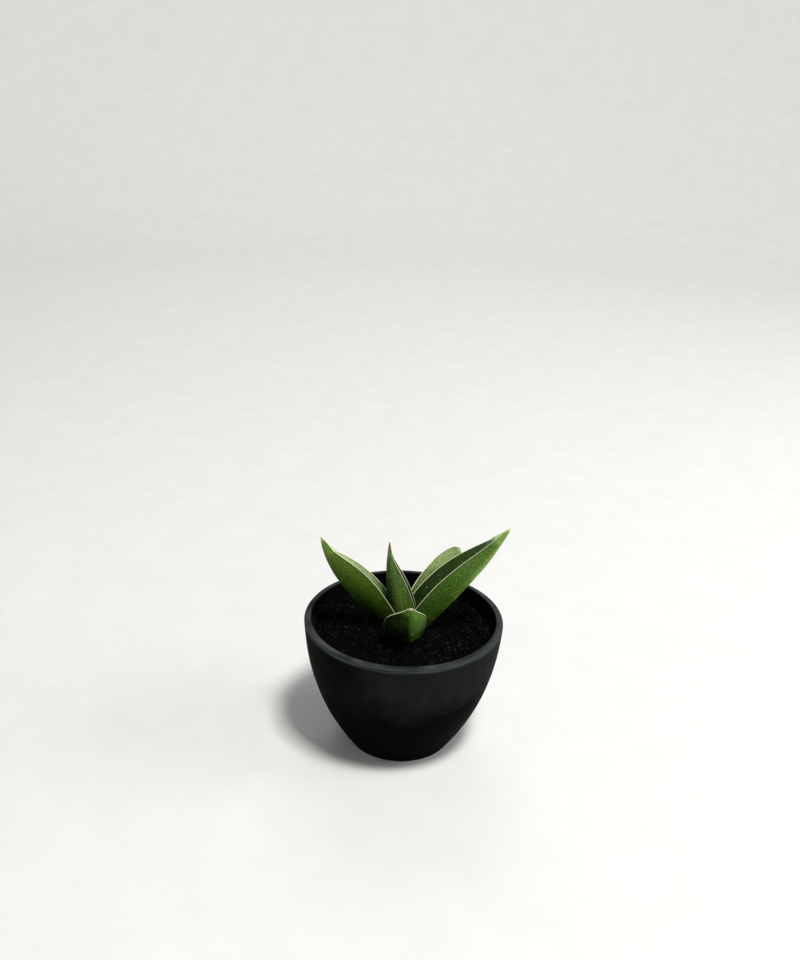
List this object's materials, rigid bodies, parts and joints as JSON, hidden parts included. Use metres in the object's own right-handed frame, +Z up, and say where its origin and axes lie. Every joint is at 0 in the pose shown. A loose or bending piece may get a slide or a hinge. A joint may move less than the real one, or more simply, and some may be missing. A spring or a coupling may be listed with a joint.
{
  "type": "potted sansevieria hybrid",
  "caption": "Small sansevieria hybrid in a round matte black pot of soil: a rosette of fleshy, channelled, pointed leaves with pale margins. It stands on the pot's flat foot ring.",
  "frame": {"origin": "on the pot's axis, on the surface that its foot ring stands on", "axes": "+Z up along the pot's axis; -Y is the front, where the short front leaf points; +X is the side of the long right leaf"},
  "size_m": [0.1198, 0.1198, 0.1444],
  "materials": {
    "pot": "matte",
    "soil": "matte",
    "root": "matte",
    "leaf": "satin"
  },
  "bodies": {
    "root": {"pot": "pot", "soil": "soil", "rootstock": "root", "leaf_front": "leaf", "leaf_right": "leaf", "leaf_left": "leaf", "leaf_centre": "leaf", "leaf_back_right": "leaf"}
  },
  "joints": []
}
